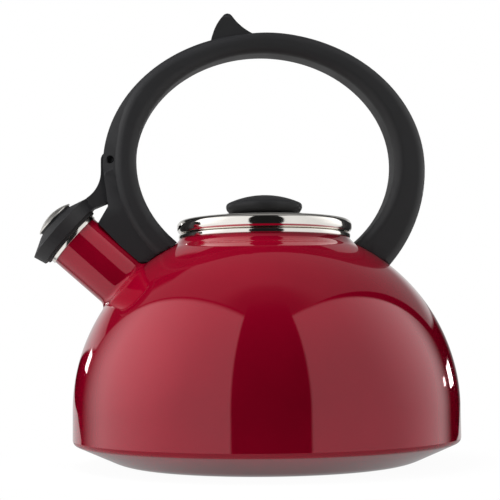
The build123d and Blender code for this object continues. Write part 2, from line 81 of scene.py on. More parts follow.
def number(name, description, default, **kind):
    """A number that a user may change, with its limits and its unit or subtype."""
    return bpy.props.FloatProperty(name=name, description=description, default=default, **kind)


def length(name, description, default):
    """A size in metres."""
    return number(name, description, default, min=0.0, unit="LENGTH", precision=5)


def angle(name, description, degrees):
    """An angle, given in degrees and kept in radians."""
    return number(name, description, math.radians(degrees), subtype="ANGLE")


def brightness(name, description, default):
    """A brightness, where 1 is white."""
    return number(name, description, default, min=0.0)


def power(name, description, default):
    """A lamp's power in watts."""
    return number(name, description, default, min=0.0, unit="POWER")


def fraction(name, description, default):
    """A part of a whole."""
    return number(name, description, default, min=0.0, max=1.0, subtype="FACTOR")


def count(name, description, default):
    """A number of faces that a user may change."""
    return bpy.props.IntProperty(name=name, description=description, default=default, min=3)


def colour(name, description, red, green, blue):
    """A surface colour that a user may change."""
    default = (red, green, blue, 1.0)
    kind = {"size": 4, "min": 0.0, "max": 1.0, "subtype": "COLOR"}
    return bpy.props.FloatVectorProperty(name=name, description=description, default=default, **kind)


class KettleSizes(bpy.types.PropertyGroup):
    """Sizes of the dressed pieces that the frame's boxes don't give."""

    body_wall: length("Body wall", "Thickness of the enamelled sheet", 0.0012)
    base_corner: length("Base corner", "Height of the ridge round the foot of the body", 0.01105)
    base_slope: angle("Base slope", "Slope of the base under the ridge", 24)
    base_bend: length("Base bend", "Rounding between the flat base and its slope", 0.029)
    ridge_bend: length("Ridge bend", "Rounding of the ridge", 0.003)
    dome_spring: length("Dome spring", "Height where the upright side turns into the dome", 0.02715)
    shoulder_run: length("Shoulder run", "From the body's side in to the neck", 0.0525)
    cove_run: length("Neck cove run", "Width of the cove below the neck", 0.0046)
    cove_height: length("Neck cove height", "Height of the cove below the neck", 0.0041)
    spout_tilt: angle("Spout tilt", "Rise of the spout's axis", 41.5)
    spout_radius: length("Spout radius", "Outer radius of the spout", 0.0142)
    spout_wall: length("Spout wall", "Thickness of the spout's wall", 0.0012)
    spout_flare: length("Spout flare", "Rounding where the spout meets the dome", 0.0035)
    spout_overhang: length("Spout overhang", "Reach of the spout's mouth beyond the body", 0.0004)
    spout_lift: length("Spout lift", "Height of the spout's mouth above the neck", 0.00105)
    trim_width: length("Mouth trim width", "Length of the steel ring on the spout", 0.0021)
    trim_proud: length("Mouth trim proud", "How far the steel ring stands out from the spout", 0.0006)
    rim_clearance: length("Rim clearance", "Gap between the lid's skirt and the opening's rim", 0.0012)
    lid_edge: length("Lid edge", "Rounding of the lid's rolled edge", 0.0031)
    lid_side: length("Lid side", "Height of the upright part of the lid's edge", 0.0008)
    lid_spread: length("Lid spread", "How far the lid's edge stands out beyond the CAD lid", 0.0006)
    lid_sheet: length("Lid sheet", "Thickness of the lid's sheet", 0.001)
    lid_turn_in: length("Lid turn-in", "Width of the lid's turned-in edge", 0.0031)
    skirt_flange: length("Skirt flange", "Width of the skirt's flange under the lid", 0.005)
    crown_drop: length("Crown drop", "How far the lid's crown is pressed down at the knob", 0.0015)
    knob_seat: length("Knob seat", "Radius of the flat under the knob", 0.014)
    knob_waist: length("Knob waist", "Height of the knob's widest line over the lid", 0.0048)
    knob_edge: length("Knob edge", "Rounding of the knob's upper edge", 0.002)
    knob_foot: length("Knob foot", "Rounding of the knob's lower edge", 0.0038)
    disc_radius: length("Disc radius", "Radius of the bright disc on the whistle cap", 0.0103)
    disc_edge: length("Disc edge", "Thickness of the disc at its edge", 0.0004)
    disc_crown: length("Disc crown", "Height of the disc's dome over its edge", 0.00275)
    disc_stem: length("Disc stem", "Radius of the disc's stem", 0.002)
    disc_drop: length("Disc drop", "From the top of the CAD disc down to the edge of this one", 0.0028)
    disc_shift: length("Disc shift", "How far the disc lies off the spout's axis, upwards", 0.0008)
    disc_tilt: angle("Disc tilt", "Tilt of the disc towards the handle", 2.5)
    disc_seat: length("Disc seat", "Radius of the black seat under the disc", 0.0095)
    seat_depth: length("Seat depth", "Depth of that seat from the disc into the cone", 0.002)
    spring_wire: length("Spring wire", "Thickness of the return spring's wire", 0.0007)
    elbow_reach: length("Elbow reach", "From the body's axis to the corner under the lever's arm", 0.0795)
    elbow_height: length("Elbow height", "Height of the corner under the lever's arm", 0.1287)
    elbow_size: length("Elbow size", "Distance round that corner in which points are moved", 0.0006)
    elbow_fill: length("Elbow fill", "How far that corner is moved in against the handle", 0.0021)
    screw_head: length("Screw head", "Height of a foot screw's head", 0.002)
    soft_edge: length("Soft edge", "Rounding of small turned edges", 0.0003)
    segments: count("Segments", "Faces round a turned piece", 256)


class KettleColours(bpy.types.PropertyGroup):
    """Colours of the kettle's finishes."""

    enamel: colour("Enamel", "Red of the enamel", 0.25, 0.0005, 0.014)
    bright_steel: colour("Bright steel", "Polished steel of the lid and trims", 0.88, 0.85, 0.8)
    plastic: colour("Plastic", "Black of the handle, lever and knob", 0.006, 0.006, 0.007)
    hardware: colour("Hardware", "Plain steel of screws, plates and spring", 0.55, 0.55, 0.56)
    blackened: colour("Blackened", "Blackened steel of the lever's pin", 0.03, 0.03, 0.032)
    rubber: colour("Rubber", "Black of the cap's seal", 0.03, 0.03, 0.03)
    table: colour("Table", "White of the table top", 0.9, 0.9, 0.9)


class KettleStudio(bpy.types.PropertyGroup):
    """Brightness of the studio's screens and lamps, and the size and brightness of its table."""

    room: brightness("Room", "Brightness of the pale room", 0.285)
    backdrop: brightness("Backdrop", "Added brightness of the backdrop, low behind the kettle", 0.4)
    left_panel: brightness("Left panel", "Brightness of the screen on the spout's side", 0.94)
    left_glow: brightness("Left glow", "Added brightness at the left screen's far end", 0.6)
    right_panel: brightness("Right panel", "Brightness of the screen on the other side", 0.82)
    right_glow: brightness("Right glow", "Added brightness at the right screen's far end", 0.65)
    key_lamp: power("Key lamp", "Power of the soft lamp above the kettle", 4.7)
    spout_spot: power("Spout spot", "Power of the narrow spot on the spout", 50.0)
    left_lamp: brightness("Left lamp", "Brightness of the small lamp behind the spout", 8.0)
    right_lamps: brightness("Right lamps", "Brightness of the small lamps behind the other side", 13.5)
    table_level: brightness("Table level", "Brightness of the table in reflections", 0.4)
    table_radius: length("Table radius", "Radius of the round table top", 0.15)
    table_gap: length("Table gap", "From the kettle's base down to the table top", 0.0002)
    floor_white: fraction("Floor white", "Share of plain white in the table", 0.96)


def node(tree, kind, inputs=None, **settings):
    """Adds a node, sets its options and links or sets its inputs."""
    made = tree.nodes.new(kind)
    for name, value in settings.items():
        setattr(made, name, value)
    for socket, value in (inputs or {}).items():
        if isinstance(value, bpy.types.NodeSocket):
            tree.links.new(value, made.inputs[socket])
        else:
            made.inputs[socket].default_value = value
    return made


def put(tree, kind, inputs=None, **settings):
    """Adds a node and gives its first output."""
    return node(tree, kind, inputs, **settings).outputs[0]


def math_node(tree, operation, *values):
    """Adds a Math node and gives its output."""
    return put(tree, "ShaderNodeMath", dict(enumerate(values)), operation=operation)


def vector_node(tree, operation, inputs, output="Vector"):
    """Adds a Vector Math node and gives one of its outputs."""
    return node(tree, "ShaderNodeVectorMath", inputs, operation=operation).outputs[output]


def dot_node(tree, one, other):
    """Adds a dot product and gives its output."""
    return vector_node(tree, "DOT_PRODUCT", {0: one, 1: other}, "Value")


def ramp_node(tree, value, low, high, start, end, steps="LINEAR"):
    """Adds a Map Range from low..high to start..end and gives its output."""
    inputs = {"Value": value, "From Min": low, "From Max": high, "To Min": start, "To Max": end}
    return put(tree, "ShaderNodeMapRange", inputs, interpolation_type=steps)


def open_group(name, kind, inputs, outputs):
    """Starts a node group, with a kind for each socket, or a default for a number that stays."""
    tree = bpy.data.node_groups.new(name, kind)

    def add(socket, side, given):
        return tree.interface.new_socket(name=socket, in_out=side, socket_type="NodeSocket" + given)

    for socket, given in inputs.items():
        if isinstance(given, float):
            add(socket, "INPUT", "Float").default_value = given
        else:
            add(socket, "INPUT", given)
    for socket, given in outputs.items():
        add(socket, "OUTPUT", given)
    return tree, tree.nodes.new("NodeGroupInput").outputs, tree.nodes.new("NodeGroupOutput").inputs


# Shared surface effects


def grain_group():
    """Fine grain from noise: a height for bumps."""
    tree, given, result = open_group(
        "surface_grain",
        "ShaderNodeTree",
        {"Vector": "Vector", "Scale": "Float", "Detail": "Float"},
        {"Height": "Float"},
    )
    inputs = {name: given[name] for name in ("Vector", "Scale", "Detail")}
    tree.links.new(put(tree, "ShaderNodeTexNoise", inputs), result["Height"])
    return tree


def handling_group():
    """Soft patches left by hands and cloths: a value between low and high, and a toned colour."""
    tree, given, result = open_group(
        "handling_marks",
        "ShaderNodeTree",
        {
            "Vector": "Vector",
            "Scale": "Float",
            "Low": "Float",
            "High": "Float",
            "Fade": "Float",
            "Color": "Color",
        },
        {"Value": "Float", "Color": "Color"},
    )
    inputs = {"Vector": given["Vector"], "Scale": given["Scale"], "Detail": 4.0, "Roughness": 0.6}
    noise = put(tree, "ShaderNodeTexNoise", inputs)
    value = ramp_node(tree, noise, low=0.35, high=0.65, start=given["Low"], end=given["High"])
    tree.links.new(value, result["Value"])
    lightest = math_node(tree, "ADD", 1.0, given["Fade"])
    darkest = math_node(tree, "SUBTRACT", 1.0, given["Fade"])
    tone = ramp_node(tree, noise, low=0.3, high=0.7, start=darkest, end=lightest)
    tinted = vector_node(tree, "SCALE", {0: given["Color"], "Scale": tone})
    tree.links.new(tinted, result["Color"])
    return tree


def turning_group():
    """Fine rings left by spinning and polishing about the pattern's Z axis: a height for bumps."""
    tree, given, result = open_group(
        "turning_lines",
        "ShaderNodeTree",
        {"Vector": "Vector", "Scale": "Float"},
        {"Height": "Float"},
    )
    flat = vector_node(tree, "MULTIPLY", {0: given["Vector"], 1: (1.0, 1.0, 0.0)})
    reach = vector_node(tree, "LENGTH", {0: flat}, "Value")
    height = node(tree, "ShaderNodeSeparateXYZ", {0: given["Vector"]}).outputs["Z"]
    inputs = {"W": math_node(tree, "ADD", reach, height), "Scale": given["Scale"], "Detail": 3.0}
    tree.links.new(put(tree, "ShaderNodeTexNoise", inputs, noise_dimensions="1D"), result["Height"])
    return tree


def screen_group():
    """An upright flat screen in a studio, seen in a direction: 1 on the screen and 0 off it."""
    tree, given, result = open_group(
        "studio_screen",
        "ShaderNodeTree",
        {
            "Direction": "Vector",
            "Facing": "Vector",
            "Side": "Vector",
            "Start": "Float",
            "Start fade": "Float",
            "End": "Float",
            "End fade": "Float",
            "Bottom": "Float",
            "Top": "Float",
            "Top fade": "Float",
        },
        {"Mask": "Float"},
    )
    least_depth = 0.001
    depth = dot_node(tree, given["Direction"], given["Facing"])
    turn = math_node(tree, "ARCTAN2", dot_node(tree, given["Direction"], given["Side"]), depth)
    rise = dot_node(tree, given["Direction"], (0.0, 0.0, 1.0))
    height = math_node(tree, "DIVIDE", rise, math_node(tree, "MAXIMUM", depth, least_depth))
    mask = math_node(tree, "GREATER_THAN", height, given["Bottom"])
    edges = (
        (turn, given["Start"], math_node(tree, "ADD", given["Start"], given["Start fade"]), 0.0),
        (turn, math_node(tree, "SUBTRACT", given["End"], given["End fade"]), given["End"], 1.0),
        (height, math_node(tree, "SUBTRACT", given["Top"], given["Top fade"]), given["Top"], 1.0),
    )
    for place, low, high, before in edges:
        edge = ramp_node(tree, place, low, high, before, 1.0 - before, "SMOOTHSTEP")
        mask = math_node(tree, "MULTIPLY", mask, edge)
    tree.links.new(mask, result["Mask"])
    return tree


def use_group(tree, name, inputs):
    """Places a shared group in a tree, built the first time, and gives its outputs."""
    makers = {
        "surface_grain": grain_group,
        "handling_marks": handling_group,
        "turning_lines": turning_group,
        "studio_screen": screen_group,
    }
    group = bpy.data.node_groups.get(name) or makers[name]()
    return node(tree, "ShaderNodeGroup", inputs, node_tree=group).outputs


# Finishes


def open_material(name, settings):
    """A new material with its Principled shader set, and the piece's own coordinates."""
    material = bpy.data.materials.new(name)
    material.use_nodes = True
    tree = material.node_tree
    shader = tree.nodes["Principled BSDF"]
    for socket, value in settings.items():
        shader.inputs[socket].default_value = value
    return material, tree, shader, tree.nodes.new("ShaderNodeTexCoord").outputs["Object"]


def handled(tree, shader, place, tone, scale, low, high, fade):
    """Feeds handling marks into the shader's colour, and into its roughness from low to high."""
    inputs = {"Vector": place, "Scale": scale, "Low": low, "High": high, "Fade": fade, "Color": tone}
    marks = use_group(tree, "handling_marks", inputs)
    tree.links.new(marks["Color"], shader.inputs["Base Color"])
    tree.links.new(marks["Value"], shader.inputs["Roughness"])


def bumped(tree, shader, height, share, distance):
    """Bumps the shader's surface by a height, on top of any bump that it has."""
    inputs = {"Height": height, "Strength": share, "Distance": distance}
    if shader.inputs["Normal"].is_linked:
        inputs["Normal"] = shader.inputs["Normal"].links[0].from_socket
    tree.links.new(put(tree, "ShaderNodeBump", inputs), shader.inputs["Normal"])


def grained(tree, shader, place, scale, detail, share, distance=0.0001):
    """Bumps the shader's surface by fine grain."""
    inputs = {"Vector": place, "Scale": scale, "Detail": detail}
    bumped(tree, shader, use_group(tree, "surface_grain", inputs)["Height"], share, distance)


def enamel_material(tone):
    """Glossy red enamel: faint orange peel under a clear glassy coat."""
    material, tree, shader, place = open_material(
        "glossy_enamel",
        {"Metallic": 0.39, "Specular IOR Level": 0.0, "Coat Weight": 1.0, "Coat Roughness": 0.02},
    )
    handled(tree, shader, place, tone, scale=22.0, low=0.05, high=0.1, fade=0.06)
    grained(tree, shader, place, scale=260.0, detail=1.0, share=0.06, distance=0.0003)
    return material


def bright_steel_material(name, tone, origin, tilt, low, high):
    """Polished or satin steel, from low to high roughness, with fine turning lines about an axis."""
    material, tree, shader, place = open_material(name, {"Metallic": 1.0})
    inputs = {"Vector": place, "Location": origin, "Rotation": (0.0, tilt, 0.0)}
    centred = put(tree, "ShaderNodeMapping", inputs, vector_type="TEXTURE")
    handled(tree, shader, place, tone, scale=60.0, low=low, high=high, fade=0.05)
    lines = use_group(tree, "turning_lines", {"Vector": centred, "Scale": 3000.0})["Height"]
    bumped(tree, shader, lines, share=0.05, distance=0.0001)
    return material


def plastic_material(tone):
    """Black moulded plastic with a fine matt grain."""
    material, tree, shader, place = open_material("grained_plastic", {"Specular IOR Level": 0.65})
    handled(tree, shader, place, tone, scale=45.0, low=0.54, high=0.64, fade=0.2)
    grained(tree, shader, place, scale=900.0, detail=3.0, share=0.15, distance=0.0002)
    grained(tree, shader, place, scale=3200.0, detail=2.0, share=0.25)
    return material


def hardware_material(name, tone):
    """Plain or blackened steel with a dull grain."""
    material, tree, shader, place = open_material(name, {"Metallic": 1.0})
    handled(tree, shader, place, tone, scale=200.0, low=0.25, high=0.4, fade=0.15)
    grained(tree, shader, place, scale=2400.0, detail=4.0, share=0.15)
    return material


def rubber_material(tone):
    """Soft black silicone with a dusty bloom."""
    material, tree, shader, place = open_material("soft_rubber", {})
    handled(tree, shader, place, tone, scale=150.0, low=0.65, high=0.85, fade=0.25)
    grained(tree, shader, place, scale=1800.0, detail=3.0, share=0.2)
    return material


def finish(name):
    """A finish by name, built the first time it is asked for."""
    made = bpy.data.materials.get(name)
    if made:
        return made
    colours = bpy.context.scene.kettle_colours
    mouth = mouth_matrix(bpy.context.scene.kettle_sizes)

    def steel(origin, tilt, low, high):
        return bright_steel_material(name, colours.bright_steel, origin, tilt, low, high)

    makers = {
        "glossy_enamel": lambda: enamel_material(colours.enamel),
        "lid_steel": lambda: steel(Vector(), 0.0, low=0.05, high=0.1),
        "spout_steel": lambda: steel(mouth.translation, mouth.to_euler().y, low=0.12, high=0.17),
        "satin_steel": lambda: steel(mouth.translation, mouth.to_euler().y, low=0.3, high=0.35),
        "grained_plastic": lambda: plastic_material(colours.plastic),
        "drawn_steel": lambda: hardware_material(name, colours.hardware),
        "blackened_steel": lambda: hardware_material(name, colours.blackened),
        "soft_rubber": lambda: rubber_material(colours.rubber),
    }
    return makers[name]()


# Making pieces


def new_object(name, data):
    """A new object in the scene."""
    made = bpy.data.objects.new(name, data)
    bpy.context.scene.collection.objects.link(made)
    return made


def place_piece(mesh, name, body, nodes, material):
    """Puts a finished mesh in place of CAD nodes, on a body when one is given."""
    mesh.name = name
    piece = new_object(name, mesh)
    mesh.materials.clear()
    mesh.materials.append(finish(material))
    if body:
        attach(piece, body)
    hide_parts(*nodes)
    return piece


def smooth(mesh, crease=TURNED_CREASE):
    """Merges doubled points, turns faces outwards and smooths all edges but those sharper than crease."""
    work = bmesh.new()
    work.from_mesh(mesh)
    bmesh.ops.remove_doubles(work, verts=work.verts, dist=WELD_DISTANCE)
    bmesh.ops.recalc_face_normals(work, faces=work.faces)
    work.to_mesh(mesh)
    work.free()
    mesh.shade_smooth()
    mesh.set_sharp_from_angle(angle=crease)


def evaluated_mesh(holder):
    """Plain mesh of an object with its modifiers, and the object removed."""
    depsgraph = bpy.context.evaluated_depsgraph_get()
    mesh = bpy.data.meshes.new_from_object(holder.evaluated_get(depsgraph), depsgraph=depsgraph)
    bpy.data.objects.remove(holder)
    return mesh


def run_tree(name, tree, mesh, values):
    """Runs a Geometry Nodes tree on a mesh with named inputs, and gives the plain mesh."""
    holder = new_object(name, mesh)
    modifier = holder.modifiers.new(name, "NODES")
    modifier.node_group = tree
    for item in tree.interface.items_tree:
        if item.item_type == "SOCKET" and item.in_out == "INPUT" and item.name in values:
            modifier[item.identifier] = values[item.name]
    return evaluated_mesh(holder)


def close_tree(tree, geometry, given, result):
    """Ends a Geometry Nodes tree in Realize Instances and Set Material."""
    solid = put(tree, "GeometryNodeRealizeInstances", {"Geometry": geometry})
    painted = put(tree, "GeometryNodeSetMaterial", {"Geometry": solid, "Material": given["Material"]})
    tree.links.new(painted, result["Piece"])


def turned_tree():
    """Tree that turns a half section about Z: one column of points for each segment."""
    tree, given, result = open_group(
        "turned_piece",
        "GeometryNodeTree",
        {"Section": "Geometry", "Segments": "Int", "Weld": WELD_DISTANCE, "Material": "Material"},
        {"Piece": "Geometry"},
    )
    size = node(tree, "GeometryNodeAttributeDomainSize", {"Geometry": given["Section"]}, component="MESH")
    points = size.outputs["Point Count"]
    columns = math_node(tree, "ADD", given["Segments"], 1.0)
    grid = put(tree, "GeometryNodeMeshGrid", {"Vertices X": columns, "Vertices Y": points})
    index = put(tree, "GeometryNodeInputIndex")
    middle = math_node(tree, "ADD", index, 0.5)
    column = math_node(tree, "FLOOR", math_node(tree, "DIVIDE", middle, points))
    row = math_node(tree, "SUBTRACT", index, math_node(tree, "MULTIPLY", column, points))
    section = node(
        tree,
        "GeometryNodeSampleIndex",
        {"Geometry": given["Section"], "Value": put(tree, "GeometryNodeInputPosition"), "Index": row},
        data_type="FLOAT_VECTOR",
        domain="POINT",
    ).outputs["Value"]
    step = math_node(tree, "DIVIDE", FULL_TURN, given["Segments"])
    turn = math_node(tree, "MULTIPLY", column, step)
    inputs = {"Vector": section, "Angle": turn}
    turned = put(tree, "ShaderNodeVectorRotate", inputs, rotation_type="Z_AXIS")
    moved = put(tree, "GeometryNodeSetPosition", {"Geometry": grid, "Position": turned})
    welded = put(tree, "GeometryNodeMergeByDistance", {"Geometry": moved, "Distance": given["Weld"]})
    close_tree(tree, welded, given, result)
    return tree


def lifted(tree, geometry, lift):
    """Moves a geometry up."""
    place = put(tree, "ShaderNodeCombineXYZ", {"Z": lift})
    return put(tree, "GeometryNodeTransform", {"Geometry": geometry, "Translation": place})


def screw_tree():
    """Tree that sets a slotted screw on each point, facing +Y. The union of its parts loses the shank."""
    tree, given, result = open_group(
        "slotted_screw",
        "GeometryNodeTree",
        {
            "Points": "Geometry",
            "Head radius": 0.0032,
            "Head height": "Float",
            "Head chamfer": 0.0003,
            "Slot width": 0.001,
            "Slot depth": 0.001,
            "Shank radius": 0.00175,
            "Shank length": 0.011,
            "Material": "Material",
        },
        {"Piece": "Geometry"},
    )
    head = given["Head radius"]
    shank = given["Shank radius"]
    barrel_height = math_node(tree, "SUBTRACT", given["Head height"], given["Head chamfer"])
    crown = math_node(tree, "SUBTRACT", head, given["Head chamfer"])
    below = math_node(tree, "MULTIPLY", given["Shank length"], -1.0)
    head_faces = 48
    shank_faces = 32
    turned = (
        (head_faces, head, head, barrel_height, 0.0),
        (head_faces, head, crown, given["Head chamfer"], barrel_height),
        (shank_faces, shank, shank, given["Shank length"], below),
    )
    body = node(tree, "GeometryNodeMeshBoolean", operation="UNION")
    for faces, bottom, top, depth, lift in turned:
        inputs = {"Vertices": faces, "Radius Bottom": bottom, "Radius Top": top, "Depth": depth}
        cone = put(tree, "GeometryNodeMeshCone", inputs)
        tree.links.new(lifted(tree, cone, lift), body.inputs["Mesh 2"])
    slot_length = math_node(tree, "MULTIPLY", head, 3.0)
    slot_room = math_node(tree, "MULTIPLY", given["Slot depth"], 2.0)
    size = {"X": slot_length, "Y": given["Slot width"], "Z": slot_room}
    block = put(tree, "GeometryNodeMeshCube", {"Size": put(tree, "ShaderNodeCombineXYZ", size)})
    cutter = lifted(tree, block, given["Head height"])
    inputs = {"Mesh 1": body.outputs["Mesh"], "Mesh 2": cutter}
    cut = put(tree, "GeometryNodeMeshBoolean", inputs, operation="DIFFERENCE")
    inputs = {"Points": given["Points"], "Instance": cut, "Rotation": (DOWN, 0.0, 0.0)}
    close_tree(tree, put(tree, "GeometryNodeInstanceOnPoints", inputs), given, result)
    return tree


def arc(center, radius, start, end, steps):
    """Points of an arc in radius and height."""
    points = []
    for step in range(steps + 1):
        turn = start + (end - start) * step / steps
        points.append((center[0] + radius * math.cos(turn), center[1] + radius * math.sin(turn)))
    return points


def line(start, end, steps):
    """Points of a straight run in radius and height."""
    return [
        (start[0] + (end[0] - start[0]) * step / steps, start[1] + (end[1] - start[1]) * step / steps)
        for step in range(steps + 1)
    ]


def rounded_corner(before, corner, after, radius, steps):
    """Points of the rounding of a corner between two straight runs."""
    middle = Vector(corner)
    back = (Vector(before) - middle).normalized()
    ahead = (Vector(after) - middle).normalized()
    half = back.angle(ahead) / 2
    center = middle + (back + ahead).normalized() * (radius / math.sin(half))
    first = middle + back * (radius / math.tan(half)) - center
    last = middle + ahead * (radius / math.tan(half)) - center
    start = math.atan2(first.y, first.x)
    sweep = math.atan2(first.x * last.y - first.y * last.x, first.dot(last))
    return arc(center, radius, start, start + sweep, steps)


def rounded_loop(corners, radius, steps=4):
    """Closed section with all its corners rounded."""
    points = []
    for place, corner in enumerate(corners):
        after = corners[(place + 1) % len(corners)]
        points += rounded_corner(corners[place - 1], corner, after, radius, steps)
    return points + points[:1]


def section_mesh(points):
    """Mesh of a half section's points in order, without neighbours in the same place."""
    kept = [points[0]]
    for point in points[1:]:
        if math.dist(point, kept[-1]) > WELD_DISTANCE:
            kept.append(point)
    mesh = bpy.data.meshes.new("section")
    mesh.from_pydata([(x, 0.0, z) for x, z in kept], [(n, n + 1) for n in range(len(kept) - 1)], [])
    return mesh


def turned_mesh(name, points, material, segments, place=Matrix()):
    """Smoothed mesh of a half section turned about Z, moved to a place."""
    tree = bpy.data.node_groups.get("turned_piece") or turned_tree()
    values = {"Segments": segments, "Material": finish(material)}
    mesh = run_tree(name, tree, section_mesh(points), values)
    mesh.transform(place)
    smooth(mesh)
    return mesh


def copied_piece(node_name, name, body, material):
    """A CAD node dressed as a smoothed copy."""
    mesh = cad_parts[node_name].data.copy()
    smooth(mesh, MOULDED_CREASE)
    piece = place_piece(mesh, name, body, [node_name], material)
    weights = piece.modifiers.new("even_shading", "WEIGHTED_NORMAL")
    weights.keep_sharp = True
    return piece


def moulded_piece(node_name, name, body):
    """A CAD node dressed as black moulded plastic."""
    return copied_piece(node_name, name, body, "grained_plastic")


def steel_piece(node_name, name, body, material="drawn_steel"):
    """A CAD node dressed as plain steel."""
    return copied_piece(node_name, name, body, material)


def reach_of(node_name):
    """Largest X of a CAD node, which is the radius of one turned about Z."""
    return boxes[node_name][1].x


def top_of(node_name):
    """Highest Z of a CAD node."""
    return boxes[node_name][1].z


def mouth_matrix(sizes):
    """Frame of the spout's mouth: Z out along the spout's axis and X up over it."""
    out = Vector((-math.cos(sizes.spout_tilt), 0.0, math.sin(sizes.spout_tilt)))
    over = Vector((math.sin(sizes.spout_tilt), 0.0, math.cos(sizes.spout_tilt)))
    turn = Matrix((over, out.cross(over), out)).transposed().to_4x4()
    reach = reach_of("body_shell") + sizes.spout_overhang
    return Matrix.Translation((-reach, 0.0, top_of("body_shell") + sizes.spout_lift)) @ turn


def dome_frame(sizes):
    """Centre, radius and end angle of the dome's arc."""
    side = reach_of("body_shell")
    run = sizes.shoulder_run - sizes.cove_run
    rise = top_of("body_shell") - sizes.cove_height - sizes.dome_spring
    radius = (run ** 2 + rise ** 2) / (2 * run)
    return (side - radius, sizes.dome_spring), radius, math.atan2(rise, radius - run)


def crowned(start, edge_center, edge_radius, inset, steps):
    """Crown and upper edge rounding of a lid or knob section, moved inwards by inset."""
    run = edge_center[0] - start[0]
    rise = start[1] - edge_center[1]
    crown_radius = (run ** 2 + rise ** 2 - edge_radius ** 2) / (2 * (rise - edge_radius))
    crown_center = (start[0], start[1] - crown_radius)
    meet = math.atan2(edge_center[1] - crown_center[1], run)
    crown = arc(crown_center, crown_radius - inset, UP, meet, steps)
    return crown + arc(edge_center, edge_radius - inset, meet, 0, steps)


# Body


def body_skin(sizes, inset):
    """Section of the body from the base's middle to the neck, moved inwards by inset."""
    side = reach_of("body_shell")
    neck = (side - sizes.shoulder_run, top_of("body_shell"))
    slope = sizes.base_slope
    middle = (0, inset)
    bottom = (side - sizes.base_corner / math.tan(slope) - inset * math.tan(slope / 2), inset)
    ridge = (side - inset, sizes.base_corner + inset * (1 / math.cos(slope) - math.tan(slope)))
    spring = (side - inset, sizes.dome_spring)
    base = rounded_corner(middle, bottom, ridge, sizes.base_bend - inset, steps=24)
    foot = rounded_corner(bottom, ridge, spring, sizes.ridge_bend - inset, steps=16)
    center, radius, end = dome_frame(sizes)
    dome = arc(center, radius - inset, 0, end, steps=96)
    cove_start = (center[0] + radius * math.cos(end), center[1] + radius * math.sin(end))
    chord = math.atan2(neck[1] - cove_start[1], neck[0] - cove_start[0])
    bend = 2 * (end + UP - chord)
    cove_radius = math.dist(cove_start, neck) / (2 * math.sin(bend / 2))
    cove_center = (
        cove_start[0] + cove_radius * math.cos(end),
        cove_start[1] + cove_radius * math.sin(end),
    )
    cove = arc(cove_center, cove_radius + inset, end + math.pi, end + math.pi - bend, steps=12)
    flat = line(middle, base[0], steps=12)
    incline = line(base[-1], foot[0], steps=8)
    upright = line(foot[-1], spring, steps=6)
    return flat + base + incline + foot + upright + dome + cove


class KETTLE_OT_body(bpy.types.Operator):
    """Turn the enamelled body, with the hole behind the spout."""

    bl_idname = "kettle.body"
    bl_label = "Enamelled body"

    def execute(self, context):
        sizes = context.scene.kettle_sizes
        neck_top = top_of("body_shell")
        under = neck_top - sizes.body_wall
        flange = reach_of("lid_plug") + sizes.body_wall
        inside = [point for point in body_skin(sizes, sizes.body_wall) if point[1] < under]
        points = body_skin(sizes, 0.0) + [(flange, neck_top), (flange, under)] + inside[::-1]
        holder = new_object("body_blank", turned_mesh("blank", points, "glossy_enamel", sizes.segments))
        drill = new_object("spout_drill", self.drill_mesh(sizes))
        cut = holder.modifiers.new("spout_hole", "BOOLEAN")
        cut.object = drill
        cut.solver = "EXACT"
        mesh = evaluated_mesh(holder)
        bpy.data.objects.remove(drill)
        smooth(mesh)
        place_piece(mesh, "body_enamel", "kettle", ["body_shell", "base_pan"], "glossy_enamel")
        return {"FINISHED"}

    def drill_mesh(self, sizes):
        """Round bar along the spout's axis, as wide as its bore."""
        bore = sizes.spout_radius - sizes.spout_wall
        depth = reach_of("body_shell") / 2
        points = [(0, -depth), (bore, -depth), (bore, 0), (0, 0)]
        return turned_mesh("drill", points, "glossy_enamel", sizes.segments // 2, mouth_matrix(sizes))


# Spout


def distance_along_spout(sizes, place, turn, reach, gap):
    """How far out along the spout a line beside its axis is at this gap from the dome."""
    center, radius, _end = dome_frame(sizes)
    low = -reach_of("body_shell") / 2
    high = 0.0
    halvings = 40
    for _halving in range(halvings):
        middle = (low + high) / 2
        point = place @ Vector((reach * math.cos(turn), reach * math.sin(turn), middle))
        if math.dist((math.hypot(point.x, point.y), point.z), center) > radius + gap:
            high = middle
        else:
            low = middle
    return low


def dome_normal(sizes, point):
    """Outward direction of the dome through a point."""
    center, _radius, _end = dome_frame(sizes)
    reach = math.hypot(point.x, point.y)
    share = (reach - center[0]) / reach
    return Vector((point.x * share, point.y * share, point.z - center[1])).normalized()


def spout_column(sizes, place, turn):
    """Points of the spout's wall at one turn: up the bore, over the end and down the flare."""
    bore_steps = 4
    wall_steps = 12
    flare_steps = 16
    wall = sizes.spout_radius
    bore = wall - sizes.spout_wall
    flare = sizes.spout_flare
    sunk = -sizes.body_wall / 2
    end = -sizes.trim_width
    spoke = Vector((math.cos(turn), math.sin(turn), 0.0))

    def beside(reach, along):
        return place @ (spoke * reach + Vector((0, 0, along)))

    bore_low = distance_along_spout(sizes, place, turn, bore, sunk)
    ball_low = distance_along_spout(sizes, place, turn, wall + flare, flare)
    bore_run = [bore_low + (end - bore_low) * step / bore_steps for step in range(bore_steps + 1)]
    wall_run = [end + (ball_low - end) * step / wall_steps for step in range(wall_steps)]
    column = [beside(bore, along) for along in bore_run] + [beside(wall, along) for along in wall_run]
    ball = beside(wall + flare, ball_low)
    to_wall = -(place.to_3x3() @ spoke)
    to_dome = -dome_normal(sizes, ball)
    for step in range(flare_steps + 1):
        column.append(ball + to_wall.slerp(to_dome, step / flare_steps) * flare)
    column.append(column[-1] + to_dome * -sunk)
    return column


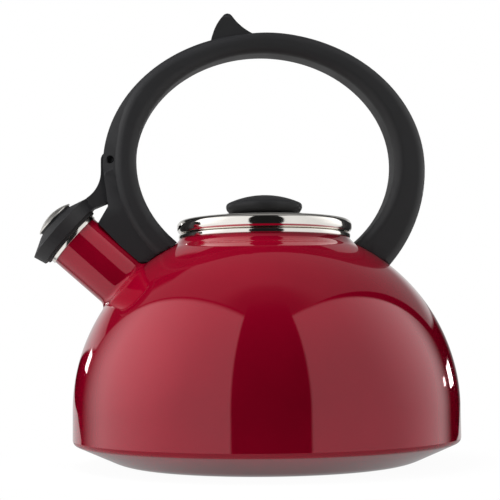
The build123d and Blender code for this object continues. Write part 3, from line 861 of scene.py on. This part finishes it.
class KETTLE_OT_spout(bpy.types.Operator):
    """Build the flared spout and the steel ring on its mouth."""

    bl_idname = "kettle.spout"
    bl_label = "Spout"

    def execute(self, context):
        sizes = context.scene.kettle_sizes
        place = mouth_matrix(sizes)
        mesh = self.tube_mesh(sizes, place)
        place_piece(mesh, "spout_enamel", "kettle", ["spout_tube"], "glossy_enamel")
        outer = sizes.spout_radius + sizes.trim_proud
        inner = sizes.spout_radius - sizes.spout_wall
        ring = [(inner, -sizes.trim_width), (outer, -sizes.trim_width), (outer, 0), (inner, 0)]
        section = rounded_loop(ring, sizes.soft_edge)
        mesh = turned_mesh("mouth_trim", section, "spout_steel", sizes.segments // 2, place)
        place_piece(mesh, "mouth_trim", "kettle", ["mouth_ring"], "spout_steel")
        return {"FINISHED"}

    def tube_mesh(self, sizes, place):
        """Closed wall of the spout, with its columns of points joined by faces."""
        turns = [FULL_TURN * column / sizes.segments for column in range(sizes.segments)]
        work = bmesh.new()
        rows = [[work.verts.new(point) for point in spout_column(sizes, place, turn)] for turn in turns]
        for row, beside in zip(rows, rows[1:] + rows[:1]):
            for step in range(len(row)):
                work.faces.new((row[step - 1], row[step], beside[step], beside[step - 1]))
        mesh = bpy.data.meshes.new("spout_enamel")
        work.to_mesh(mesh)
        work.free()
        smooth(mesh)
        return mesh


# Lid


class KETTLE_OT_lid(bpy.types.Operator):
    """Turn the rim of the filling opening, the lid and its knob."""

    bl_idname = "kettle.lid"
    bl_label = "Lid"

    def execute(self, context):
        sizes = context.scene.kettle_sizes
        self.turn(sizes, "opening_trim", self.rim(sizes), "kettle", "opening_rim")
        self.turn(sizes, "lid_shell", self.cover(sizes), "lid", "lid_cover")
        self.turn(sizes, "lid_skirt", self.skirt(sizes), "lid", "lid_plug")
        self.turn(sizes, "knob_top", self.knob(sizes), "lid", "lid_knob", "black_plastic", "grained_plastic")
        steel_piece("knob_washer", "washer_plate", "lid")
        steel_piece("knob_screw", "knob_fixing", "lid")
        return {"FINISHED"}

    def turn(self, sizes, name, points, body, node_name, slot="polished_steel", material="lid_steel"):
        """Turns a section about Z and puts it in place of a CAD node."""
        mesh = turned_mesh(name, points, material, sizes.segments)
        place_piece(mesh, name, body, [node_name], material)

    def rim(self, sizes):
        """Bead on the neck and the skirt through it."""
        low, high = boxes["opening_rim"]
        neck = top_of("body_shell")
        bore = reach_of("lid_plug") + sizes.rim_clearance
        skirt = bore + sizes.lid_sheet
        bead = (high.z - neck) / 3
        points = [(bore, low.z), (skirt, low.z), (skirt, neck)]
        points += rounded_corner((skirt, neck), (high.x, neck), high.xz, bead, steps=8)
        points += rounded_corner((high.x, neck), high.xz, (bore, high.z), bead, steps=8)
        points += rounded_corner(high.xz, (bore, high.z), (bore, low.z), sizes.soft_edge, steps=4)
        return points + points[:1]

    def cover(self, sizes):
        """Pressed lid with a flat under the knob, a crown and a rolled edge that turns in."""
        low, high = boxes["lid_cover"]
        edge = sizes.lid_edge
        sheet = sizes.lid_sheet
        seat = (sizes.knob_seat, high.z - sizes.crown_drop)
        lower = (high.x + sizes.lid_spread - edge, low.z + edge)
        upper = (lower[0], lower[1] + sizes.lid_side)
        outer = crowned(seat, upper, edge, 0, steps=40) + arc(lower, edge, 0, DOWN, steps=20)
        inner = crowned(seat, upper, edge, sheet, steps=40) + arc(lower, edge - sheet, 0, DOWN, steps=20)
        turn_in = lower[0] - sizes.lid_turn_in
        lip = [(turn_in, low.z), (turn_in, low.z + sheet)]
        hole = reach_of("knob_screw") / 2
        flat = line((hole, seat[1]), seat, steps=6)
        points = flat + outer + lip + inner[::-1] + [(hole, seat[1] - sheet)]
        return points + points[:1]

    def skirt(self, sizes):
        """Skirt that seats in the opening, with its flange under the lid."""
        low, high = boxes["lid_plug"]
        under = high.z - sizes.lid_sheet
        inside = high.x - sizes.lid_sheet
        flange = high.x - sizes.skirt_flange
        outside = [(high.x, low.z), high.xz, (flange, high.z)]
        return rounded_loop(outside + [(flange, under), (inside, under), (inside, low.z)], sizes.soft_edge)

    def knob(self, sizes):
        """Crowned knob with a rounded edge that narrows to its seat."""
        low, high = boxes["lid_knob"]
        foot = low.z - sizes.crown_drop
        widest = foot + sizes.knob_waist
        upper = (high.x - sizes.knob_edge, widest)
        lower = (high.x - sizes.knob_foot, widest)
        points = crowned((0, high.z), upper, sizes.knob_edge, 0, steps=32)
        points += arc(lower, sizes.knob_foot, 0, DOWN, steps=32)
        return points + [(sizes.knob_seat, foot), (0, foot)]


# Handle


class KETTLE_OT_handle(bpy.types.Operator):
    """Dress the ring handle and the steel tabs in its feet."""

    bl_idname = "kettle.handle"
    bl_label = "Handle"

    def execute(self, context):
        moulded_piece("handle", "handle_ring", "kettle")
        steel_piece("spout_side_bracket", "spout_side_tab", "kettle")
        steel_piece("rear_bracket", "rear_tab", "kettle")
        return {"FINISHED"}


class KETTLE_OT_foot_screws(bpy.types.Operator):
    """Set the slotted screws in the handle's feet."""

    bl_idname = "kettle.foot_screws"
    bl_label = "Foot screws"

    def execute(self, context):
        head = context.scene.kettle_sizes.screw_head
        nodes = ["spout_side_screw", "rear_screw"]
        heads = []
        for node_name in nodes:
            low, high = boxes[node_name]
            heads.append(((low.x + high.x) / 2, high.y - head, (low.z + high.z) / 2))
        points = bpy.data.meshes.new("screw_points")
        points.from_pydata(heads, [], [])
        values = {"Head height": head, "Material": finish("drawn_steel")}
        mesh = run_tree("foot_screws", screw_tree(), points, values)
        smooth(mesh, SCREW_CREASE)
        place_piece(mesh, "foot_screws", "kettle", nodes, "drawn_steel")
        return {"FINISHED"}


# Lever and whistle cap


class KETTLE_OT_lever(bpy.types.Operator):
    """Dress the lever, its pin and its spring."""

    bl_idname = "kettle.lever"
    bl_label = "Spout lever"

    def execute(self, context):
        sizes = context.scene.kettle_sizes
        lever = moulded_piece("spout_lever", "thumb_lever", "lever")
        self.fill_elbow(lever.data, sizes)
        steel_piece("lever_pin", "pivot_pin", "kettle", "blackened_steel")
        self.twist_spring(steel_piece("lever_spring", "return_spring", None), sizes)
        return {"FINISHED"}

    def twist_spring(self, spring, sizes):
        """Moves the spring's place into its points."""
        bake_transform(spring)

    def fill_elbow(self, mesh, sizes):
        """Moves the corner under the arm in against the handle, which closes the gap there."""
        corner = (-sizes.elbow_reach, sizes.elbow_height)
        for vertex in mesh.vertices:
            if math.dist(vertex.co.xz, corner) < sizes.elbow_size:
                vertex.co.x += sizes.elbow_fill


class KETTLE_OT_cap(bpy.types.Operator):
    """Dress the whistle cap on the spout: seal, plates, cone and disc."""

    bl_idname = "kettle.cap"
    bl_label = "Whistle cap"

    def execute(self, context):
        sizes = context.scene.kettle_sizes
        copied_piece("cap_seal", "mouth_seal", "lever", "soft_rubber")
        steel_piece("whistle_lower_plate", "lower_whistle", "lever")
        steel_piece("whistle_upper_plate", "upper_whistle", "lever")
        cone = moulded_piece("whistle_housing", "cap_cone", "lever")
        self.add_seat(sizes, cone.data)
        self.add_disc(sizes)
        return {"FINISHED"}

    def disc_heights(self, sizes):
        """Lowest point of the CAD disc's stem and the edge of the disc, along the spout's axis."""
        axis = mouth_matrix(sizes).inverted()
        heights = [(axis @ vertex.co).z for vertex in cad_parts["whistle_disc"].data.vertices]
        return min(heights), max(heights) - sizes.disc_drop

    def turned_on_disc(self, sizes, name, points, material):
        """Turns a section about the disc's axis, which is the spout's axis moved and tilted."""
        shift = Matrix.Translation((sizes.disc_shift, 0.0, 0.0))
        place = mouth_matrix(sizes) @ shift @ Matrix.Rotation(sizes.disc_tilt, 4, "Y")
        return turned_mesh(name, points, material, sizes.segments // 2, place)

    def add_seat(self, sizes, cone):
        """Adds the low black seat under the disc to the cone."""
        _foot, edge = self.disc_heights(sizes)
        low = edge - sizes.seat_depth
        section = [(0, low), (sizes.disc_seat, low), (sizes.disc_seat, edge), (0, edge)]
        mesh = self.turned_on_disc(sizes, "disc_seat", section, "grained_plastic")
        work = bmesh.new()
        work.from_mesh(cone)
        work.from_mesh(mesh)
        work.to_mesh(cone)
        work.free()
        bpy.data.meshes.remove(mesh)

    def add_disc(self, sizes):
        """Domed satin disc on its stem, from the CAD disc's foot up."""
        stem_low, edge = self.disc_heights(sizes)
        stem = sizes.disc_stem
        crown = sizes.disc_crown
        rounding = (sizes.disc_radius ** 2 + crown ** 2) / (2 * crown)
        reach = math.asin(sizes.disc_radius / rounding)
        center = (0, edge + sizes.disc_edge + crown - rounding)
        foot = [(0, stem_low), (stem, stem_low), (stem, edge), (sizes.disc_radius, edge)]
        dome = arc(center, rounding, UP - reach, UP, steps=24)
        mesh = self.turned_on_disc(sizes, "cap_disc", foot + dome, "satin_steel")
        place_piece(mesh, "cap_disc", "lever", ["whistle_disc"], "satin_steel")


# Studio


def compass(degrees):
    """Level direction at an azimuth from the front, to the right for a positive one."""
    turn = math.radians(degrees)
    return (math.sin(turn), -math.cos(turn), 0.0)


def screen(
    tree, direction, facing, start, end, top, bottom=-80.0, start_fade=2.0, end_fade=2.0, top_fade=0.05
):
    """Mask of an upright screen that faces an azimuth, between azimuths and elevations in degrees."""
    inputs = {
        "Direction": direction,
        "Facing": compass(facing),
        "Side": compass(facing + 90.0),
        "Start": math.radians(start - facing),
        "Start fade": math.radians(start_fade),
        "End": math.radians(end - facing),
        "End fade": math.radians(end_fade),
        "Bottom": math.tan(math.radians(bottom)),
        "Top": math.tan(math.radians(top)),
        "Top fade": top_fade,
    }
    return use_group(tree, "studio_screen", inputs)["Mask"]


def glow(tree, direction, azimuth, rise=0.4, edge=0.6, falloff=2.0):
    """A soft bright spot on a screen, at an azimuth and out to the edge's cosine."""
    middle = (Vector(compass(azimuth)) + Vector((0.0, 0.0, rise))).normalized()
    near = ramp_node(tree, dot_node(tree, direction, middle), low=edge, high=1.0, start=0.0, end=1.0)
    return math_node(tree, "POWER", near, falloff)


def lit(tree, level, mask, bright):
    """Adds a mask's light to a level."""
    return math_node(tree, "MULTIPLY_ADD", mask, bright, level)


def dimmed(tree, level, mask, share):
    """Takes a mask's share off a level."""
    kept = math_node(tree, "SUBTRACT", 1.0, math_node(tree, "MULTIPLY", mask, share))
    return math_node(tree, "MULTIPLY", level, kept)


def studio_level(tree, direction, studio):
    """Brightness of the studio in a direction."""

    def mask(**edges):
        return screen(tree, direction, **edges)

    backdrop = mask(facing=180.0, start=125.0, end=235.0, top=26.0, top_fade=0.3)
    level = lit(tree, studio.room, backdrop, studio.backdrop)
    wide = {"start_fade": 50.0, "end_fade": 50.0, "top_fade": 8.9}
    behind = {"start_fade": 4.0, "end_fade": 6.0}
    # The share of light that each flag takes away: two in front, two round each screen, two behind
    flags = (
        (0.75, mask(facing=-4.0, start=-84.0, end=76.0, top=84.5, **wide)),
        (0.85, mask(facing=-4.0, start=-28.0, end=19.5, top=72.0, top_fade=1.5)),
        (1.0, mask(facing=52.0, start=17.0, end=141.0, top=62.2)),
        (1.0, mask(facing=84.0, start=60.0, end=173.0, top=24.0, bottom=-9.0, end_fade=27.0)),
        (1.0, mask(facing=-57.0, start=-146.0, end=-27.0, top=64.0)),
        (1.0, mask(facing=-84.0, start=-173.0, end=-60.0, top=24.0, bottom=-9.0)),
        (0.95, mask(facing=180.0, start=141.0, end=231.0, top=62.0, bottom=48.0, top_fade=0.2, **behind)),
        (0.95, mask(facing=180.0, start=196.0, end=231.0, top=50.0, bottom=24.0, **behind)),
    )
    for share, flag in flags:
        level = dimmed(tree, level, flag, share)
    left = mask(facing=-57.0, start=-145.0, end=-26.0, top=63.5, start_fade=32.0, top_fade=0.25)
    left_level = lit(tree, studio.left_panel, glow(tree, direction, azimuth=-103.0), studio.left_glow)
    right = mask(facing=46.0, start=17.5, end=130.0, top=62.0, end_fade=20.0, top_fade=0.15)
    right_level = lit(tree, studio.right_panel, glow(tree, direction, azimuth=112.0), studio.right_glow)
    small = {"top_fade": 0.02}
    lights = (
        (left_level, left),
        (right_level, right),
        (studio.left_lamp, mask(facing=-145.5, start=-149.0, end=-142.0, top=11.0, bottom=6.0, **small)),
        (studio.right_lamps, mask(facing=134.5, start=130.0, end=139.0, top=6.5, bottom=1.5, **small)),
        (studio.right_lamps, mask(facing=122.5, start=120.5, end=124.5, top=5.8, bottom=3.2, **small)),
    )
    for bright, light in lights:
        level = lit(tree, level, light, bright)
    return level


def build_world(studio):
    """A pale room with two large screens, dark flags and small lamps, which the camera sees as white."""
    world = bpy.data.worlds.new("studio")
    bpy.context.scene.world = world
    world.use_nodes = True
    tree = world.node_tree
    background = tree.nodes["Background"]
    level = studio_level(tree, tree.nodes.new("ShaderNodeTexCoord").outputs["Generated"], studio)
    seen = tree.nodes.new("ShaderNodeLightPath").outputs["Is Camera Ray"]
    shown = node(tree, "ShaderNodeMix", {"Factor": seen, "A": level, "B": 1.0}).outputs["Result"]
    tree.links.new(shown, background.inputs["Strength"])
    background.inputs["Color"].default_value = WHITE


def floor_material(studio, tone):
    """White table top, seen as plain white with a faint shadow, and dimmer in reflections."""
    settings = {"Base Color": tone, "Roughness": 1.0, "Specular IOR Level": 0.0}
    material, tree, matt, place = open_material("studio_floor", settings)
    path = tree.nodes.new("ShaderNodeLightPath").outputs
    seen = math_node(tree, "MAXIMUM", path["Is Camera Ray"], path["Is Glossy Ray"])
    seen = math_node(tree, "MAXIMUM", seen, path["Is Transmission Ray"])
    reach = vector_node(tree, "LENGTH", {0: place}, "Value")
    rim = studio.table_radius
    clear = ramp_node(tree, reach, low=rim / 2, high=rim, start=studio.floor_white, end=1.0)
    share = math_node(tree, "MULTIPLY", seen, clear)
    level = ramp_node(tree, path["Is Glossy Ray"], low=0.0, high=1.0, start=1.0, end=studio.table_level)
    white = put(tree, "ShaderNodeEmission", {"Color": WHITE, "Strength": level})
    mixed = put(tree, "ShaderNodeMixShader", {0: share, 1: matt.outputs[0], 2: white})
    tree.links.new(mixed, tree.nodes["Material Output"].inputs["Surface"])
    return material


class KETTLE_OT_studio(bpy.types.Operator):
    """Set the camera, the white table and the studio's screens and lamps."""

    bl_idname = "kettle.studio"
    bl_label = "Studio"

    def execute(self, context):
        scene = context.scene
        studio = scene.kettle_studio
        scene.view_settings.view_transform = "Standard"
        build_world(studio)
        self.add_floor(studio, scene.kettle_colours.table)
        self.add_camera(scene)
        self.add_lamps(studio)
        return {"FINISHED"}

    def add_floor(self, studio, tone):
        """Round white table top under the base."""
        work = bmesh.new()
        bmesh.ops.create_circle(work, cap_ends=True, radius=studio.table_radius, segments=96)
        mesh = bpy.data.meshes.new("studio_floor")
        work.to_mesh(mesh)
        work.free()
        mesh.materials.append(floor_material(studio, tone))
        floor = new_object("studio_floor", mesh)
        floor.location.z = -studio.table_gap

    def add_camera(self, scene):
        """Camera at the photograph's place."""
        lens = bpy.data.cameras.new("photo_camera")
        lens.lens = PHOTO_LENS
        lens.sensor_width = PHOTO_SENSOR
        camera = new_object("photo_camera", lens)
        camera.matrix_world = Matrix.Translation(PHOTO_PLACE)
        for degrees, axis in ((PHOTO_HEADING, "Z"), (PHOTO_PITCH, "X"), (PHOTO_ROLL, "Z")):
            camera.matrix_world = camera.matrix_world @ Matrix.Rotation(math.radians(degrees), 4, axis)
        scene.camera = camera

    def add_lamps(self, studio):
        """Soft lamp above the kettle, and a narrow spot from the front left on the spout and its cap."""
        key = bpy.data.lights.new("key_lamp", "AREA")
        key.shape = "DISK"
        key.size = 0.3
        key.energy = studio.key_lamp
        self.hang_lamp(key, place=(-0.15, -0.05, 0.65), aim=(0.0, 0.0, 0.0))
        spot = bpy.data.lights.new("spout_spot", "SPOT")
        spot.spot_size = math.radians(13.0)
        spot.spot_blend = 1.0
        spot.shadow_soft_size = 0.1
        spot.energy = studio.spout_spot
        self.hang_lamp(spot, place=(-0.7, -0.75, 0.45), aim=(-0.085, 0.0, 0.1))

    def hang_lamp(self, light, place, aim):
        """Hangs a lamp that only lights: the camera and mirrors don't see it."""
        lamp = new_object(light.name, light)
        lamp.location = place
        lamp.rotation_euler = (lamp.location - Vector(aim)).to_track_quat("Z", "Y").to_euler()
        lamp.visible_camera = False
        lamp.visible_glossy = False


PIECES = (
    KETTLE_OT_studio,
    KETTLE_OT_body,
    KETTLE_OT_spout,
    KETTLE_OT_lid,
    KETTLE_OT_handle,
    KETTLE_OT_foot_screws,
    KETTLE_OT_lever,
    KETTLE_OT_cap,
)


class KETTLE_PT_sidebar(bpy.types.Panel):
    """Sizes, colours and steps of the kettle."""

    bl_idname = "KETTLE_PT_sidebar"
    bl_label = "Whistling kettle"
    bl_space_type = "VIEW_3D"
    bl_region_type = "UI"
    bl_category = "Kettle"

    def draw(self, context):
        scene = context.scene
        for group in (scene.kettle_sizes, scene.kettle_colours, scene.kettle_studio):
            box = self.layout.box()
            for name in group.__annotations__:
                box.prop(group, name)
        for piece in PIECES:
            self.layout.operator(piece.bl_idname)


GROUPS = (
    (KettleSizes, "kettle_sizes"),
    (KettleColours, "kettle_colours"),
    (KettleStudio, "kettle_studio"),
)


def register():
    for group, name in GROUPS:
        bpy.utils.register_class(group)
        setattr(bpy.types.Scene, name, bpy.props.PointerProperty(type=group))
    for piece in PIECES:
        bpy.utils.register_class(piece)
    bpy.utils.register_class(KETTLE_PT_sidebar)


def unregister():
    bpy.utils.unregister_class(KETTLE_PT_sidebar)
    for piece in reversed(PIECES):
        bpy.utils.unregister_class(piece)
    for group, name in reversed(GROUPS):
        delattr(bpy.types.Scene, name)
        bpy.utils.unregister_class(group)


def main():
    register()
    bpy.ops.kettle.studio()
    bpy.ops.kettle.body()
    bpy.ops.kettle.spout()
    bpy.ops.kettle.lid()
    bpy.ops.kettle.handle()
    bpy.ops.kettle.foot_screws()
    bpy.ops.kettle.lever()
    bpy.ops.kettle.cap()


if __name__ == "__main__":
    main()
